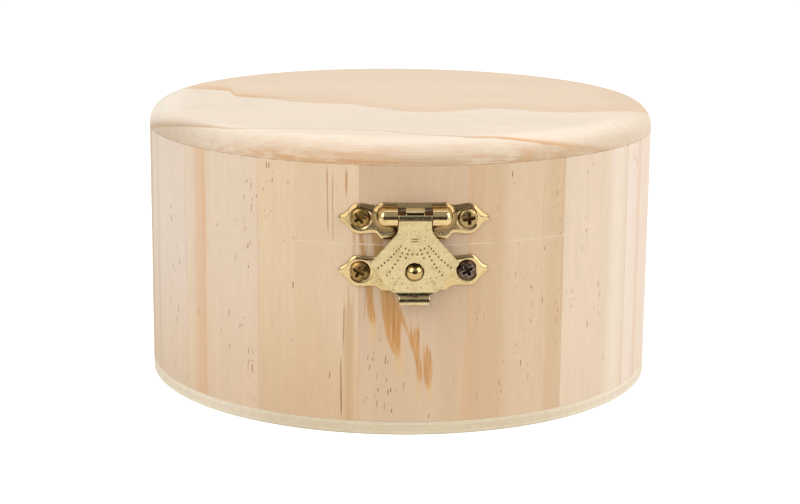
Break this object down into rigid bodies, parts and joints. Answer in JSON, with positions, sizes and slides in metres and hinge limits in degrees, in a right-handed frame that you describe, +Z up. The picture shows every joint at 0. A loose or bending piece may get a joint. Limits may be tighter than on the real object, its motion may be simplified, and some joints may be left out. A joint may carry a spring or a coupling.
{
  "type": "round wooden box",
  "caption": "Round pine box built of glued staves, with a plywood base, a hinged lid with a rounded edge and a brass hasp that snaps over a ball stud.",
  "frame": {"origin": "centre of the underside of the base", "axes": "+Z up; the hasp is at the front, towards -Y, and the hinge at the back, towards +Y; +X is to the right seen from the front"},
  "size_m": [0.13, 0.1388, 0.0703],
  "materials": {
    "stave_pine": "fine sanded, unvarnished",
    "top_pine": "fine sanded, unvarnished",
    "base_plywood": "fine sanded, unvarnished",
    "hasp_brass": "pale brass plate, satin",
    "stud_brass": "polished",
    "pin_bronze": "dull, brown",
    "screw_bronze": "antique, worn"
  },
  "bodies": {
    "box_body": {"base_panel": "base_plywood", "body_stave_01": "stave_pine", "body_stave_02": "stave_pine", "body_stave_03": "stave_pine", "body_stave_04": "stave_pine", "body_stave_05": "stave_pine", "body_stave_06": "stave_pine", "body_stave_07": "stave_pine", "body_stave_08": "stave_pine", "body_stave_09": "stave_pine", "body_stave_10": "stave_pine", "body_stave_11": "stave_pine", "body_stave_12": "stave_pine", "body_stave_13": "stave_pine", "body_stave_14": "stave_pine", "body_stave_15": "stave_pine", "body_stave_16": "stave_pine", "catch_plate": "hasp_brass", "catch_stud": "stud_brass", "catch_plate_screws": "screw_bronze", "hinge_leaf_body": "hasp_brass", "hinge_body_screws": "screw_bronze", "hinge_pin": "pin_bronze"},
    "lid": {"lid_stave_01": "stave_pine", "lid_stave_02": "stave_pine", "lid_stave_03": "stave_pine", "lid_stave_04": "stave_pine", "lid_stave_05": "stave_pine", "lid_stave_06": "stave_pine", "lid_stave_07": "stave_pine", "lid_stave_08": "stave_pine", "lid_stave_09": "stave_pine", "lid_stave_10": "stave_pine", "lid_stave_11": "stave_pine", "lid_stave_12": "stave_pine", "lid_stave_13": "stave_pine", "lid_stave_14": "stave_pine", "lid_stave_15": "stave_pine", "lid_stave_16": "stave_pine", "top_panel": "top_pine", "hasp_mounting_plate": "hasp_brass", "hasp_pin": "pin_bronze", "hasp_plate_screws": "screw_bronze", "hinge_leaf_lid": "hasp_brass", "hinge_lid_screws": "screw_bronze"},
    "hasp": {"hasp_flap": "hasp_brass"}
  },
  "joints": [
    {"name": "lid_hinge", "type": "hinge", "parent": "box_body", "child": "lid", "pos_m": [0, 0.06715, 0.0458], "axis": [-1, 0, 0], "range_deg": [0, 180]},
    {"name": "hasp_pivot", "type": "hinge", "parent": "lid", "child": "hasp", "pos_m": [0, -0.06735, 0.0527], "axis": [-1, 0, 0], "range_deg": [0, 170]}
  ]
}
